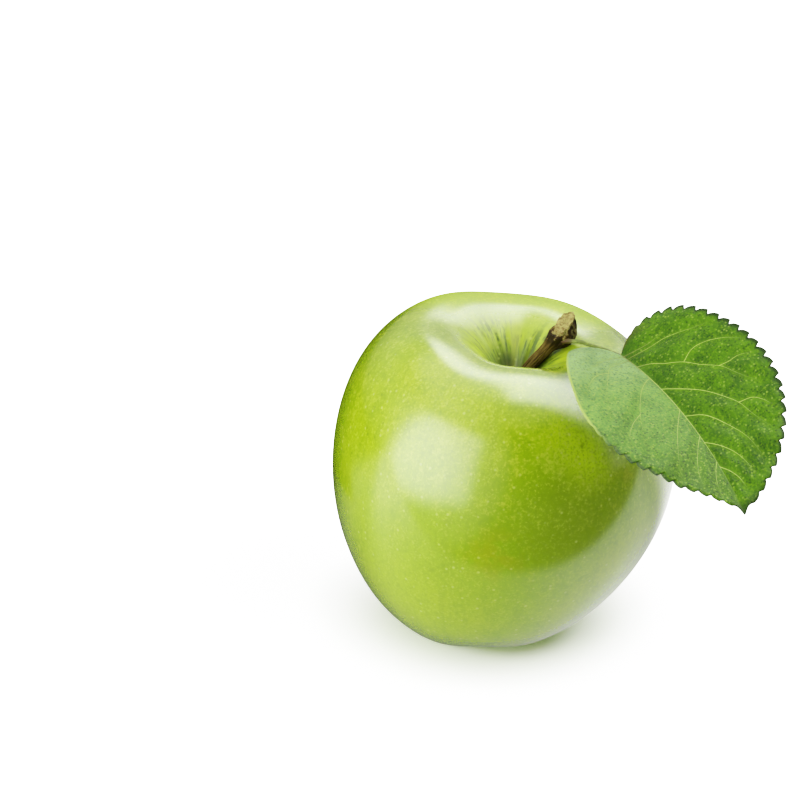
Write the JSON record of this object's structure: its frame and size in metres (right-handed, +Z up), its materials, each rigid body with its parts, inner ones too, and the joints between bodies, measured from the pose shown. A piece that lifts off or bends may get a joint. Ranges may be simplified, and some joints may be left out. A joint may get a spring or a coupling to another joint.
{
  "type": "green apple",
  "caption": "Whole glossy green apple with a woody stem, one toothed leaf on a thin stalk and a dried calyx, standing on the low bumps round its basin.",
  "frame": {"origin": "middle of the whole apple's box, fruit and leaf, at the surface it stands on", "axes": "+Z up, +X towards the side where the leaf reaches out past the fruit, -Y towards the side that the leaf hangs over"},
  "size_m": [0.0982, 0.0992, 0.0827],
  "materials": {
    "apple_skin": "glossy waxy skin, yellow-green, with pale dots",
    "stem_wood": "dull brown bark, pale tan where it broke",
    "leaf_green": "satin leaf, darker green above with pale veins",
    "dried_calyx": "dull dried sepals, grey-brown"
  },
  "bodies": {
    "root": {"fruit": "apple_skin", "stem": "stem_wood", "leaf": "leaf_green", "calyx": "dried_calyx"}
  },
  "joints": []
}
